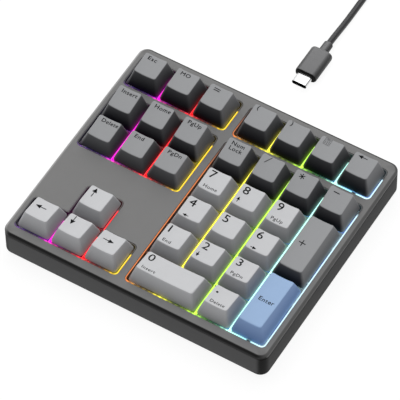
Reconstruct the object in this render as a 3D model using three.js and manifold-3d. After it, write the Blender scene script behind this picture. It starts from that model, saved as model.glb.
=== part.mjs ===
// A 34-key mechanical numeric keypad with a navigation block, its detachable USB cable beside it.
// Millimetres, +Z up, +Y towards the back, origin under the middle of the case on the desk.
import * as THREE from 'three';
import { mergeVertices } from 'three/addons/utils/BufferGeometryUtils.js';
import Module from 'manifold-3d';

const wasm = await Module();
wasm.setup();

// ---------- driving dimensions ----------
const unit = 19.05;             // key pitch
const blockGap = 6.1;           // between the navigation block and the number block
const rowGap = 5.5;             // between the back row and the rows in front of it
const windowMargin = 0.7;       // the top frame's windows are this much wider than the keys' field, all round
const windowCorner = 2.4;
const sideBezel = 4.4;
const endBezel = 6.35;
const cornerRadius = 5;
const edgeFillet = 1.4;
const wall = 2.4;
const gap = 0.3;                // clearance between touching pieces

const footHeight = 2;
const floorTop = 3.8;
const boardBottom = 4.5;
const boardTop = 6.1;
const plateBottom = 9.6;
const plateTop = 11.1;
const seamZ = 15.2;             // top of the tray's wall
const caseTop = 17.7;

const travel = 4;
const capBottom = caseTop - 0.3;
const capHalf = 9.05;           // half of the cap's 18.1 mm foot
const capTopHalf = 6.15;
const capTopFront = -5.95;      // the top leans back: its front edge is nearer the middle
const capTopBack = 6.55;
const capWall = 1.3;
const capRoof = 1.5;
const dishDepth = 0.6;
// heights of the cap's top corners above the case, front and back, from the back row forward
const rowProfiles = [
  { front: 9.1, back: 9.8 },
  { front: 8.8, back: 10.8 },
  { front: 7.2, back: 8.2 },
  { front: 7.3, back: 7.4 },
  { front: 8.3, back: 7.4 },
  { front: 8.9, back: 6.8 },
];

const stemRadius = 2.75;
const housingFoot = 6.95;       // half sides of a switch housing: through the plate, on it and at its top
const housingFlange = 7.8;
const housingShoulder = 7.1;
const housingTop = 4.5;
const housingRise = 6.6;
const stemWell = 3.2;           // half side of the opening that the cap's stem goes into

const stabiliserReach = 11.94;  // from the middle of a two-unit key to its outer stem
const stabiliserStemRadius = 2.2;
const wireOffset = 8.9;
const wireZ = plateTop + 1.3;
const wireRadius = 0.8;
const wireArm = 7.6;
const wireRise = 3.6;
const clipThickness = 0.8;

const bossRadius = 2.5;
const screwRadius = 0.95;
const screwHeadRadius = 2;
const screwLength = 9;

const cableDiameter = 3.5;
const portZ = 8;
const plugTipY = 94;
const plugZ = 3.3;
const coilMiddleRadius = 20;
const coilTurnsAcross = 5;
const coilTurnsHigh = 2;
const coilY = 184;

// ---------- finishes ----------
const finish = (color, roughness, metalness = 0) =>
  () => new THREE.MeshStandardMaterial({ color, roughness, metalness });
const casePlastic = finish(0x77777a, 0.55);
const caseDark = finish(0x4b4b4d, 0.55);
const darkCap = finish(0x707376, 0.6);
const lightCap = finish(0xd0d1d4, 0.6);
const blueCap = finish(0x8ba4cc, 0.6);
const plateSteel = finish(0xd9dadc, 0.45, 0.6);
const boardGreen = finish(0x1c2a22, 0.5);
const steel = finish(0xc6c8cb, 0.3, 1);
const rubber = finish(0x1e1e1f, 0.9);
const cableBlack = finish(0x3a3a3c, 0.65);

// ---------- layout ----------
const fieldWidth = 7 * unit + blockGap;
const fieldDepth = 6 * unit + rowGap;
const caseWidth = fieldWidth + 2 * sideBezel;
const caseDepth = fieldDepth + 2 * endBezel;
const columnEdge = (column) => -fieldWidth / 2 + column * unit + (column >= 3 ? blockGap : 0);
const rowEdge = (row) => fieldDepth / 2 - row * unit - (row >= 1 ? rowGap : 0);

// name, column, row, colour, width in units, depth in units
const keys = [
  ['key_escape', 0, 0, darkCap], ['key_function', 1, 0, darkCap], ['key_equals', 2, 0, darkCap],
  ['key_insert', 0, 1, darkCap], ['key_home', 1, 1, darkCap], ['key_page_up', 2, 1, darkCap],
  ['key_delete', 0, 2, darkCap], ['key_end', 1, 2, darkCap], ['key_page_down', 2, 2, darkCap],
  ['key_up', 1, 4, lightCap],
  ['key_left', 0, 5, lightCap], ['key_down', 1, 5, lightCap], ['key_right', 2, 5, lightCap],
  ['key_open_bracket', 3, 0, darkCap], ['key_close_bracket', 4, 0, darkCap],
  ['key_calculator', 5, 0, darkCap], ['key_backspace', 6, 0, darkCap],
  ['key_num_lock', 3, 1, darkCap], ['key_divide', 4, 1, darkCap],
  ['key_multiply', 5, 1, darkCap], ['key_minus', 6, 1, darkCap],
  ['key_7', 3, 2, lightCap], ['key_8', 4, 2, lightCap], ['key_9', 5, 2, lightCap],
  ['key_plus', 6, 2, darkCap, 1, 2],
  ['key_4', 3, 3, lightCap], ['key_5', 4, 3, lightCap], ['key_6', 5, 3, lightCap],
  ['key_1', 3, 4, lightCap], ['key_2', 4, 4, lightCap], ['key_3', 5, 4, lightCap],
  ['key_enter', 6, 4, blueCap, 1, 2],
  ['key_0', 3, 5, lightCap, 2, 1], ['key_point', 5, 5, lightCap],
].map(([name, column, row, colour, wide = 1, deep = 1]) => ({
  name, row, colour, wide, deep,
  x: columnEdge(column) + wide * unit / 2,
  y: rowEdge(row) - deep * unit / 2,
}));

// cut-outs of the top frame: first column, first row, columns, rows
const cutouts = [
  [0, 0, 3, 1], [0, 1, 3, 2], [1, 4, 1, 2], [0, 5, 3, 1], [3, 0, 4, 1], [3, 1, 4, 5],
].map(([column, row, wide, deep]) => ({
  x: columnEdge(column) + wide * unit / 2,
  y: rowEdge(row) - deep * unit / 2,
  width: wide * unit + 2 * windowMargin, depth: deep * unit + 2 * windowMargin,
}));

const stripY = rowEdge(0) - unit - rowGap / 2;
const screwSpots = {
  back_left: [columnEdge(0) + unit, stripY],
  back_right: [columnEdge(6), stripY],
  middle_left: [columnEdge(0) + unit / 2, rowEdge(3) - unit / 2],
  front_middle: [columnEdge(3) - blockGap / 2, rowEdge(5) - unit / 3],
};
const footSpots = { front_left: [-1, -1], front_right: [1, -1], back_left: [-1, 1], back_right: [1, 1] };
const footInset = 14;
const footRadius = 6;

// ---------- shape helpers ----------
function toSolid(geometry) {
  const bare = geometry.clone();
  bare.deleteAttribute('normal');
  bare.deleteAttribute('uv');
  const merged = mergeVertices(bare, 1e-4);
  return new wasm.Manifold(new wasm.Mesh({
    numProp: 3,
    vertProperties: new Float32Array(merged.attributes.position.array),
    triVerts: new Uint32Array(merged.index.array),
  }));
}

function toGeometry(solid) {
  const mesh = solid.getMesh();
  const geometry = new THREE.BufferGeometry();
  geometry.setAttribute('position', new THREE.BufferAttribute(mesh.vertProperties, 3));
  geometry.setIndex(new THREE.BufferAttribute(mesh.triVerts, 1));
  geometry.computeVertexNormals();
  return geometry;
}

// Corner arcs of a rounded rectangle, anticlockwise from the front right corner.
function outline(width, depth, radius, steps, cx = 0, cy = 0) {
  const corners = [[1, -1], [1, 1], [-1, 1], [-1, -1]];
  return corners.flatMap(([sx, sy], corner) => {
    const middleX = cx + sx * (width / 2 - radius);
    const middleY = cy + sy * (depth / 2 - radius);
    return Array.from({ length: steps + 1 }, (_, i) => {
      const angle = (corner - 1 + i / steps) * Math.PI / 2;
      return [middleX + radius * Math.cos(angle), middleY + radius * Math.sin(angle)];
    });
  });
}

const atHeight = (points, z) => points.map(([x, y]) => new THREE.Vector3(x, y, z));

// Skin between rings of equal count, lowest first, closed by a fan at each end.
function loft(rings, topCentre) {
  const count = rings[0].length;
  const centre = (ring) => ring.reduce((sum, p) => sum.add(p), new THREE.Vector3()).divideScalar(count);
  const points = [...rings.flat(), centre(rings[0]), topCentre ?? centre(rings.at(-1))];
  const index = [];
  for (let r = 0; r + 1 < rings.length; r += 1) {
    for (let i = 0; i < count; i += 1) {
      const a = r * count + i;
      const b = r * count + (i + 1) % count;
      index.push(a, b, b + count, a, b + count, a + count);
    }
  }
  const top = (rings.length - 1) * count;
  for (let i = 0; i < count; i += 1) {
    const next = (i + 1) % count;
    index.push(rings.length * count, next, i);
    index.push(rings.length * count + 1, top + i, top + next);
  }
  const geometry = new THREE.BufferGeometry().setFromPoints(points);
  geometry.setIndex(index);
  return geometry;
}

const prism = (width, depth, radius, low, high, cx = 0, cy = 0, steps = 3) => loft([
  atHeight(outline(width, depth, radius, steps, cx, cy), low),
  atHeight(outline(width, depth, radius, steps, cx, cy), high),
]);

function box(x0, x1, y0, y1, z0, z1) {
  const geometry = new THREE.BoxGeometry(x1 - x0, y1 - y0, z1 - z0);
  return geometry.translate((x0 + x1) / 2, (y0 + y1) / 2, (z0 + z1) / 2);
}

function post(x, y, radius, low, high, sides = 12) {
  const geometry = new THREE.CylinderGeometry(radius, radius, high - low, sides);
  return geometry.rotateX(Math.PI / 2).translate(x, y, (low + high) / 2);
}

const join = (base, ...pieces) => pieces.reduce((sum, piece) => sum.add(toSolid(piece)), base);
const cut = (base, ...pieces) => pieces.reduce((rest, piece) => rest.subtract(toSolid(piece)), base);

const keypad = new THREE.Group();
function place(name, shape, material, x = 0, y = 0, z = 0, turn = 0) {
  const geometry = shape.isBufferGeometry ? shape : toGeometry(shape);
  const mesh = new THREE.Mesh(geometry, material());
  mesh.name = name;
  mesh.position.set(x, y, z);
  mesh.rotation.z = turn;
  keypad.add(mesh);
}

// ---------- case ----------
function bottomCase() {
  const ring = (inset, z) => atHeight(
    outline(caseWidth - 2 * inset, caseDepth - 2 * inset, cornerRadius - inset, 4), z);
  const tray = cut(
    toSolid(loft([ring(0.8, footHeight), ring(0, footHeight + 0.8), ring(0, seamZ)])),
    prism(caseWidth - 2 * wall, caseDepth - 2 * wall, cornerRadius - wall, floorTop, caseTop));
  const portWall = caseDepth / 2;
  const recess = box(-6.6, 6.6, portWall - wall - 1, portWall + 1, portZ - 3.75, portZ + 3.75);
  const pads = Object.values(footSpots).map(([sx, sy]) => post(
    sx * (caseWidth / 2 - footInset), sy * (caseDepth / 2 - footInset),
    footRadius + gap, footHeight - 1, footHeight + 0.6, 20));
  const screwHoles = Object.values(screwSpots).flatMap(([x, y]) => [
    post(x, y, screwRadius + 0.45, footHeight - 1, floorTop + 1, 10),
    post(x, y, screwHeadRadius + 0.4, footHeight - 1, footHeight + 1.1, 12),
  ]);
  return cut(tray, recess, ...pads, ...screwHoles);
}

function topFrame() {
  const ring = (inset, z) => atHeight(
    outline(caseWidth - 2 * inset, caseDepth - 2 * inset, cornerRadius - inset, 4), z);
  const fillet = [0, 30, 60, 90].map((degrees) => {
    const angle = THREE.MathUtils.degToRad(degrees);
    return ring(edgeFillet * (1 - Math.cos(angle)), caseTop - edgeFillet * (1 - Math.sin(angle)));
  });
  const plate = toSolid(loft([ring(0, seamZ + gap), ...fillet]));
  const lipOuter = wall + gap;
  const lipInner = lipOuter + 1.2;
  const lip = cut(
    toSolid(prism(caseWidth - 2 * lipOuter, caseDepth - 2 * lipOuter, cornerRadius - lipOuter,
      seamZ - 1.8, seamZ + 0.8)),
    prism(caseWidth - 2 * lipInner, caseDepth - 2 * lipInner, cornerRadius - lipInner,
      seamZ - 3, seamZ + 2));
  const bosses = Object.values(screwSpots).map(([x, y]) => post(
    x, y, bossRadius, floorTop + gap, seamZ + 0.8));
  const pilots = Object.values(screwSpots).map(([x, y]) => post(
    x, y, screwRadius + 0.35, floorTop - 1, seamZ - 3, 10));
  const windows = cutouts.map((c) => prism(
    c.width, c.depth, windowCorner, floorTop, caseTop + 2, c.x, c.y));
  return cut(join(cut(plate.add(lip), ...windows), ...bosses), ...pilots);
}

// ---------- switches, plate and board ----------
const bossHoles = (low, high) => Object.values(screwSpots).map(
  ([x, y]) => post(x, y, bossRadius + 0.4, low - 1, high + 1));

function switchHousing(x, y) {
  const square = (half, z) => atHeight([[half, -half], [half, half], [-half, half], [-half, -half]]
    .map(([dx, dy]) => [x + dx, y + dy]), z);
  return loft([
    square(housingFoot, boardTop + gap), square(housingFoot, plateBottom + 0.5),
    square(housingFlange, plateBottom + 0.6), square(housingFlange, plateTop + 1),
    square(housingShoulder, plateTop + 1.1), square(housingTop, plateTop + housingRise),
  ]);
}

function stabiliserCradle(key, side) {
  const along = key.wide > 1;
  const clips = [-1, 1].map((face) => {
    const across = side * wireOffset + face * (wireRadius + gap + clipThickness / 2);
    return [across - clipThickness / 2, across + clipThickness / 2];
  });
  return [-9.6, 9.6].flatMap((lengthways) => clips.map(([low, high]) => (along
    ? box(key.x + lengthways - 0.8, key.x + lengthways + 0.8, key.y + low, key.y + high,
      plateTop - 0.5, wireZ + 0.7)
    : box(key.x + low, key.x + high, key.y + lengthways - 0.8, key.y + lengthways + 0.8,
      plateTop - 0.5, wireZ + 0.7))));
}

const wideKeys = keys.filter((key) => key.wide * key.deep > 1);
const wireSide = (key) => (key.name === 'key_0' ? -1 : 1);

function switchPlate() {
  const inset = wall + 0.5;
  const plate = toSolid(prism(caseWidth - 2 * inset, caseDepth - 2 * inset, cornerRadius - wall,
    plateBottom, plateTop));
  const stemWells = keys.map((key) => box(key.x - stemWell, key.x + stemWell,
    key.y - stemWell, key.y + stemWell, capBottom - travel, plateTop + housingRise + 1));
  return cut(
    join(cut(plate, ...bossHoles(plateBottom, plateTop)), ...keys.map((key) => switchHousing(key.x, key.y)),
      ...wideKeys.flatMap((key) => stabiliserCradle(key, wireSide(key)))),
    ...stemWells);
}

function circuitBoard() {
  const inset = wall + 0.8;
  return cut(toSolid(prism(caseWidth - 2 * inset, caseDepth - 2 * inset, 2, boardBottom, boardTop)),
    ...bossHoles(boardBottom, boardTop));
}

function usbPort() {
  const back = caseDepth / 2 - wall + 0.2;
  const front = back - 6.2;
  const barrel = (width, height, y0, y1) => prism(width, height, height / 2 - 0.05, 0, y1 - y0)
    .rotateX(-Math.PI / 2).translate(0, y0, portZ);
  const shell = cut(toSolid(barrel(8.94, 3.2, front, back)), barrel(8.34, 2.6, front + 1, back + 1));
  return join(shell, box(-3.3, 3.3, front + 0.5, back - 0.8, portZ - 0.35, portZ + 0.35));
}

// The controller sits on the board under the blank part of the case.
const controllerSpot = { x: columnEdge(1) + unit, y: rowEdge(3) - unit / 2 };
const controllerChip = () => prism(7, 7, 0.3, boardTop + gap, boardTop + gap + 1, 0, 0, 1);

// ---------- keycaps ----------
function keycap({ row, wide, deep }) {
  const growX = (wide - 1) * unit / 2;
  const growY = (deep - 1) * unit / 2;
  const front = rowProfiles[row + deep - 1].front - (capBottom - caseTop);
  const back = rowProfiles[row].back - (capBottom - caseTop);
  const topDepth = capTopBack - capTopFront + 2 * growY;
  const lean = (y) => front + (back - front) * (y - capTopFront + growY) / topDepth;
  // one ring of the cap between its foot (0) and its top edge (1), with a point amid the front and back
  const ring = (share, bulge, radius) => {
    const half = THREE.MathUtils.lerp(capHalf, capTopHalf, share) + bulge + growX;
    const y0 = THREE.MathUtils.lerp(-capHalf, capTopFront, share) - bulge - growY;
    const y1 = THREE.MathUtils.lerp(capHalf, capTopBack, share) + bulge + growY;
    const rim = outline(2 * half, y1 - y0, radius, 1, 0, (y0 + y1) / 2);
    rim.splice(4, 0, [0, y1]);
    rim.push([0, y0]);
    return rim.map(([x, y]) => {
      const dip = Math.abs(x) < 0.01 ? dishDepth : 0;
      return new THREE.Vector3(x, y, share * (lean(y) - dip * share));
    });
  };
  const middleTop = new THREE.Vector3(0, (capTopFront + capTopBack) / 2,
    lean((capTopFront + capTopBack) / 2) - dishDepth);
  const outside = loft([ring(0, 0, 1.6), ring(0.5, 0.25, 1.6), ring(1, 0, 1.4)], middleTop);
  const ceiling = Math.min(front, back) - dishDepth - capRoof;
  const cavity = (inset, z, y0, y1, half) => atHeight(outline(
    2 * (half + growX - inset), y1 - y0 + 2 * growY - 2 * inset, 0.8, 1, 0, (y0 + y1) / 2), z);
  const hollow = loft([
    cavity(capWall - 0.03, -0.1, -capHalf, capHalf, capHalf),
    cavity(capWall - 0.1, ceiling, capTopFront, capTopBack, capTopHalf),
  ]);
  const stems = [post(0, 0, stemRadius, 0.5, ceiling + 0.5, 8)];
  if (wide * deep > 1) {
    for (const side of [-1, 1]) {
      const reach = side * stabiliserReach;
      stems.push(post(wide > 1 ? reach : 0, deep > 1 ? reach : 0,
        stabiliserStemRadius, -0.2, ceiling + 0.5, 8));
    }
  }
  return join(cut(toSolid(outside), hollow), ...stems);
}

// Bent wire that keeps both ends of a two-unit key level: an axle with an arm at each end.
function stabiliserWire(key) {
  const side = wireSide(key);
  const end = (direction) => [direction * stabiliserReach, side * (wireOffset - wireArm), wireRise];
  const axle = (direction) => [direction * stabiliserReach, side * wireOffset, 0];
  const stops = [end(-1), axle(-1), axle(1), end(1)].map(([along, across, up]) => (key.wide > 1
    ? new THREE.Vector3(along, across, up) : new THREE.Vector3(across, along, up)));
  const path = new THREE.CurvePath();
  for (let i = 0; i < 3; i += 1) path.add(new THREE.LineCurve3(stops[i], stops[i + 1]));
  const rods = path.curves.map((line) => {
    const rod = new THREE.CylinderGeometry(wireRadius, wireRadius, line.getLength(), 6);
    const turn = new THREE.Quaternion().setFromUnitVectors(
      new THREE.Vector3(0, 1, 0), line.getTangent(0));
    return rod.applyQuaternion(turn).translate(...line.getPoint(0.5).toArray());
  });
  const elbows = [axle(-1), axle(1)].map(([along, across]) => new THREE.IcosahedronGeometry(wireRadius)
    .translate(key.wide > 1 ? along : across, key.wide > 1 ? across : along, 0));
  return join(toSolid(rods[0]), rods[1], rods[2], ...elbows);
}

// ---------- fasteners and feet ----------
function screw() {
  const profile = [
    [0, 0], [screwHeadRadius, 0], [screwHeadRadius, 0.5],
    [screwRadius, 1.3], [screwRadius, screwLength], [0, screwLength],
  ];
  return new THREE.LatheGeometry(profile.map(([r, z]) => new THREE.Vector2(r, z)), 10).rotateX(Math.PI / 2);
}

function foot() {
  const chamfer = 0.6;
  const profile = [
    [0, 0], [footRadius - chamfer, 0], [footRadius, chamfer],
    [footRadius, footHeight + gap], [0, footHeight + gap],
  ];
  return new THREE.LatheGeometry(profile.map(([r, z]) => new THREE.Vector2(r, z)), 20).rotateX(Math.PI / 2);
}

// ---------- detachable cable ----------
// Rounded slab lying along +Y: sections are [y, width, height, corner radius]
const slabAlongY = (sections, z, steps = 3) => loft(sections.map(([y, width, height, radius]) =>
  outline(width, height, radius, steps).map(([x, up]) => new THREE.Vector3(-x, y, z + up))));

const shellBack = plugTipY + 6.6;
const overmoldBack = shellBack + 17;
const reliefBack = overmoldBack + 6.6;
// The lead runs along x = 0 and is the coil's outermost turn, so the coil lies to its left.
const coilHalf = coilTurnsAcross * cableDiameter / 2;
const coilOuter = coilMiddleRadius + coilHalf;
const coilX = cableDiameter / 2 - coilOuter;
const leadEndY = coilY - Math.sqrt(coilOuter ** 2 - (coilOuter - cableDiameter) ** 2) - gap;
const tailY = 198;
const tailEndX = 19.3;
const farPlugZ = 4;
const farBodyLength = 31;
const farShellLength = 18.4;

const leadRoute = [
  [0, reliefBack + gap, plugZ], [0, reliefBack + 5, 3.1], [0, reliefBack + 10, 2.6],
  [0, reliefBack + 15, 2.1], [0, reliefBack + 20, 1.85], [0, reliefBack + 26, 1.8],
  [0, leadEndY, 1.8],
];
const tailRoute = [
  [2.9, 192.6, 4.7], [4.6, 194.4, 4.4], [7, 196.1, 4.1], [10.5, 197.5, 3.8], [14, tailY, 3.7],
  [tailEndX - gap, tailY, farPlugZ],
];

function cord(route, steps) {
  const section = new THREE.Shape().absarc(0, 0, cableDiameter / 2, 0, 2 * Math.PI);
  const path = new THREE.CatmullRomCurve3(route.map((p) => new THREE.Vector3(...p)));
  return new THREE.ExtrudeGeometry(section,
    { extrudePath: path, steps, curveSegments: 4, bevelEnabled: false });
}

function plugShell(width, height, radius, length, tongueHeight) {
  const slab = (w, h, r, y0, y1) => slabAlongY([[y0, w, h, r], [y1, w, h, r]], 0);
  const shell = cut(toSolid(slab(width, height, radius, 0, length)),
    slab(width - 0.6, height - 0.6, radius - 0.3, -1, length - 1));
  return tongueHeight ? join(shell, box(-width / 2 + 0.6, width / 2 - 0.6, 0.3, length - 0.5,
    -height / 2 + 0.1, -height / 2 + 0.1 + tongueHeight)) : shell;
}

function coil() {
  const height = coilTurnsHigh * cableDiameter;
  const chamfer = 1.2;
  const inner = coilMiddleRadius - coilHalf;
  const profile = [
    [inner, chamfer], [inner + chamfer, 0], [coilOuter - chamfer, 0], [coilOuter, chamfer],
    [coilOuter, height - chamfer], [coilOuter - chamfer, height], [inner + chamfer, height],
    [inner, height - chamfer], [inner, chamfer],
  ];
  return new THREE.LatheGeometry(profile.map(([r, z]) => new THREE.Vector2(r, z)), 28).rotateX(Math.PI / 2);
}

// ---------- assembly ----------
place('bottom_case', bottomCase(), caseDark);
place('top_frame', topFrame(), casePlastic);
place('switch_plate', switchPlate(), plateSteel);
place('circuit_board', circuitBoard(), boardGreen);
place('usb_port', usbPort(), steel);
place('controller_chip', controllerChip(), caseDark, controllerSpot.x, controllerSpot.y);
for (const key of keys) place(key.name, keycap(key), key.colour, key.x, key.y, capBottom);
for (const key of wideKeys) {
  place(`stabiliser_wire${key.name.slice(3)}`, stabiliserWire(key), steel, key.x, key.y, wireZ);
}
for (const [spot, [x, y]] of Object.entries(screwSpots)) {
  place(`screw_${spot}`, screw(), steel, x, y, footHeight + 0.1);
}
for (const [spot, [sx, sy]] of Object.entries(footSpots)) {
  place(`foot_${spot}`, foot(), rubber,
    sx * (caseWidth / 2 - footInset), sy * (caseDepth / 2 - footInset), 0);
}
place('usb_c_shell', plugShell(8.34, 2.56, 1.2, 6.6 - gap), steel, 0, plugTipY, plugZ);
place('usb_c_overmold', slabAlongY([
  [shellBack, 11, 5.6, 2.4], [shellBack + 0.8, 12.1, 6.6, 2.8], [overmoldBack - 1.2, 12.1, 6.6, 2.8],
  [overmoldBack, 6.4, 5.6, 2.7], [reliefBack, 4.6, 4.6, 2.25],
], plugZ), cableBlack);
place('cable', cord(leadRoute, 8), cableBlack);
place('cable_coil', coil(), cableBlack, coilX, coilY, 0);
place('cable_tail', cord(tailRoute, 5), cableBlack);
place('usb_a_overmold', slabAlongY([
  [0, 5, 5, 2.4], [8, 7, 6.4, 2.9], [9.2, 15.4, 7.9, 2.2],
  [farBodyLength - 1, 15.7, 8, 2], [farBodyLength, 14.6, 7, 1.6],
], 0), cableBlack, tailEndX, tailY, farPlugZ, -Math.PI / 2);
place('usb_a_shell', plugShell(12, 4.5, 0.5, farShellLength, 2), steel,
  tailEndX + farBodyLength + gap + farShellLength, tailY, farPlugZ, Math.PI / 2);

export default keypad;
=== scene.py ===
import bpy
import numpy as np
from mathutils import Matrix, Vector


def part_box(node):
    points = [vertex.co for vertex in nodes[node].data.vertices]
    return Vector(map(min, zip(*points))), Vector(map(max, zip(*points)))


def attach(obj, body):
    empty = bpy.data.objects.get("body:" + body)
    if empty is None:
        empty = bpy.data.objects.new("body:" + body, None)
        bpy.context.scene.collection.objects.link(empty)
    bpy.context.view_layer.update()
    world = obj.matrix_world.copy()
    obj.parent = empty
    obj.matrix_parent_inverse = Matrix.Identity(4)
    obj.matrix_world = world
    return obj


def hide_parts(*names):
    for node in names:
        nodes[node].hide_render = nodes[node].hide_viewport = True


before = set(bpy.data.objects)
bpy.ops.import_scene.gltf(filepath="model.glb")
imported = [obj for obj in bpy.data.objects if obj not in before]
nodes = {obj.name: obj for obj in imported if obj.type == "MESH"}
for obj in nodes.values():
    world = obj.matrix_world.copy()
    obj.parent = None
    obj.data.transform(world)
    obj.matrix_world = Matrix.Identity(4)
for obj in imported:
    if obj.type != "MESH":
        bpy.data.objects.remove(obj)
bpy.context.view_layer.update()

mm = 0.001
scene = bpy.context.scene
scene.view_settings.view_transform = "Standard"


def linked(name, data):
    made = bpy.data.objects.new(name, data)
    scene.collection.objects.link(made)
    return made


# camera
cameraLook = {
    "place": (0.57481, -0.92722, 1.52458),
    "right": (0.856508, 0.516042, -0.009896),
    "up": (-0.413222, 0.697084, 0.585933),
    "back": (0.309264, -0.497765, 0.810298),
    "lens": 343.59,
}


def makeCamera():
    lens = bpy.data.cameras.new("camera")
    lens.lens, lens.sensor_width = cameraLook["lens"], 36
    lens.clip_start, lens.clip_end = 0.1, 20
    camera = linked("camera", lens)
    turned = Matrix([cameraLook["right"], cameraLook["up"], cameraLook["back"]]).transposed().to_4x4()
    turned.translation = cameraLook["place"]
    camera.matrix_world = turned
    scene.camera = camera


makeCamera()
print("camera placed")

# cable
# millimetres; the lead and the tail are the same points as the CAD tubes
cable = {
    "thick": 3.5,
    "start": (0, 124.2, 3.3),
    "lead": [(0, 124.5, 3.3), (0, 129.2, 3.1), (0, 134.2, 2.6), (0, 139.2, 2.1), (0, 144.2, 1.85),
             (0, 150.2, 1.8), (0, 157, 1.8), (0, 163.5, 1.8), (0, 170, 1.78), (0, 177, 1.76)],
    "middle": (-27, 184),
    "reach": 27,            # radius of the outermost turn
    "across": 5,
    "pointsPerTurn": 36,
    "tail": [(0.35, 187.2, 5.1), (1.3, 190, 4.9), (2.9, 192.6, 4.7), (4.6, 194.4, 4.4), (7, 196.1, 4.1),
             (10.5, 197.5, 3.8), (14, 198, 3.7), (19, 198, 4), (21.5, 198, 4)],
}


def coilPoints():
    # radius and height of the strand by angle: it keeps one slot for a turn and then shifts by a
    # diameter to the next, inwards on the lower layer, up, and outwards on the upper one
    thick, across = cable["thick"], cable["across"]
    inward = [(cable["reach"] - k * thick, thick / 2) for k in range(across)]
    slots = inward + [(radius, thick * 1.5) for radius, _ in reversed(inward)]
    turns = len(slots)
    angle = np.linspace(0, 360 * turns, cable["pointsPerTurn"] * turns + 1)[:-1]
    radius, height = np.full(angle.shape, slots[0][0]), np.full(angle.shape, slots[0][1])
    for k in range(1, turns):
        layer = 0 if k < across else 1 if k == across else 2
        begin = 360 * k + (235, 120, 5)[layer]
        share = (1 - np.cos(np.pi * np.clip((angle - begin) / 100, 0, 1))) / 2
        radius += share * (slots[k][0] - slots[k - 1][0])
        height += share * (slots[k][1] - slots[k - 1][1])
    turn = np.radians(angle)
    x, y = cable["middle"][0] + radius * np.cos(turn), cable["middle"][1] + radius * np.sin(turn)
    return np.stack([x, y, height], 1)


def makeCable():
    route = np.vstack([[cable["start"]], cable["lead"], coilPoints(),
                       [(0, cable["middle"][1], cable["thick"] * 1.5)], cable["tail"]]) * mm
    curve = bpy.data.curves.new("cable_cord", "CURVE")
    curve.dimensions = "3D"
    curve.bevel_depth = 1               # the points' radius gives the thickness
    curve.bevel_resolution = 4
    curve.use_fill_caps = True
    spline = curve.splines.new("POLY")
    spline.points.add(len(route) - 1)
    spline.points.foreach_set("co", np.c_[route, np.ones(len(route))].ravel())
    spline.points.foreach_set("radius", np.full(len(route), cable["thick"] / 2 * mm))
    spline.use_smooth = True
    cord = linked("cable_cord", curve)
    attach(cord, "root")
    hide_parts("cable", "cable_coil", "cable_tail")
    return cord, float(np.linalg.norm(np.diff(route, axis=0), axis=1).sum())


cableCord, cableLength = makeCable()
print("cable laid", round(cableLength, 3), "m")


# shader maths
# wraps a socket of a material's nodes: sums on values add Math nodes, node() adds any other kind
class Wire:
    def __init__(self, tree, socket=None):
        self.tree, self.socket = tree, socket

    def node(self, kind, settings=None, values=None, out=0):
        made = self.tree.nodes.new("ShaderNode" + kind)
        for key, value in (settings or {}).items():
            if key == "stops":
                ramp = made.color_ramp.elements
                for stop, (place, colour) in ((ramp[0], value[0]), (ramp[1], value[-1])):
                    stop.position, stop.color = place, (*colour, 1)
                for place, colour in value[1:-1]:
                    ramp.new(place).color = (*colour, 1)
            else:
                setattr(made, key, value)
        for key, value in (values or {}).items():
            if isinstance(value, Wire):
                self.tree.links.new(value.socket, made.inputs[key])
            else:
                made.inputs[key].default_value = value
        return Wire(self.tree, made.outputs[out] if made.outputs else None)

    def maths(self, operation, first, second=0.0):
        return self.node("Math", {"operation": operation}, {0: first, 1: second})

    def __add__(self, other):
        return self.maths("ADD", self, other)

    def __sub__(self, other):
        return self.maths("SUBTRACT", self, other)

    def __rsub__(self, other):
        return self.maths("SUBTRACT", other, self)

    def __mul__(self, other):
        return self.maths("MULTIPLY", self, other)

    __radd__ = __add__
    __rmul__ = __mul__

    def mix(self, first, second):  # self is the factor, first and second are colours
        return self.node("Mix", {"data_type": "RGBA"}, {0: self, 6: first, 7: second}, out=2)

    def tint(self, colour, other):  # one colour times the other
        return self.node("Mix", {"data_type": "RGBA", "blend_type": "MULTIPLY"},
                         {0: 1.0, 6: colour, 7: other}, out=2)

    def noise(self, size):  # self is a place, size is in metres
        return self.node("TexNoise", {}, {"Vector": self, "Scale": 1 / size, "Detail": 2.0})

    def attribute(self, name):
        return self.node("Attribute", {"attribute_name": name}, out=2)

    def place(self):
        return self.node("TexCoord", out=3)

    def axis(self, which):
        return self.node("SeparateXYZ", {}, {0: self.place()}, out=which)


def makeMaterial(name, colour, rough, metallic=0.0, specular=0.5, grain=0.15, grainSize=0.00022,
                 mottle=0.05, coat=0.0, emission=0.0, recipe=None):
    # colour with slow mottling and a fine grain that also lifts the surface
    material = bpy.data.materials.new(name)
    material.use_nodes = True
    tree = material.node_tree
    tree.nodes.clear()
    m = Wire(tree)
    place = m.place()
    fine, slow = place.noise(grainSize), place.noise(0.006)
    base = (slow * mottle * 2 + fine * mottle - mottle * 1.5 + 0.5).mix(
        tuple(c * 0.75 for c in colour) + (1,), tuple(min(1, c * 1.25) for c in colour) + (1,))
    values = {"Metallic": metallic, "Specular IOR Level": specular, "Coat Weight": coat,
              "Roughness": fine * 0.12 + (rough - 0.06), "Emission Strength": emission}
    if recipe:
        base, sent = recipe(m, base)
        if sent:
            values["Emission Color"] = sent
    values["Base Color"] = base
    values["Normal"] = m.node("Bump", {}, {"Height": fine, "Strength": grain, "Distance": 0.00005})
    shader = m.node("BsdfPrincipled", {}, values)
    m.node("OutputMaterial", {}, {0: shader})
    return material


def srgb(*channels):  # 0 to 255 as on a screen, to linear
    share = np.array(channels) / 255
    return tuple(np.where(share <= 0.04045, share / 12.92, ((share + 0.055) / 1.055) ** 2.4))


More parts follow.
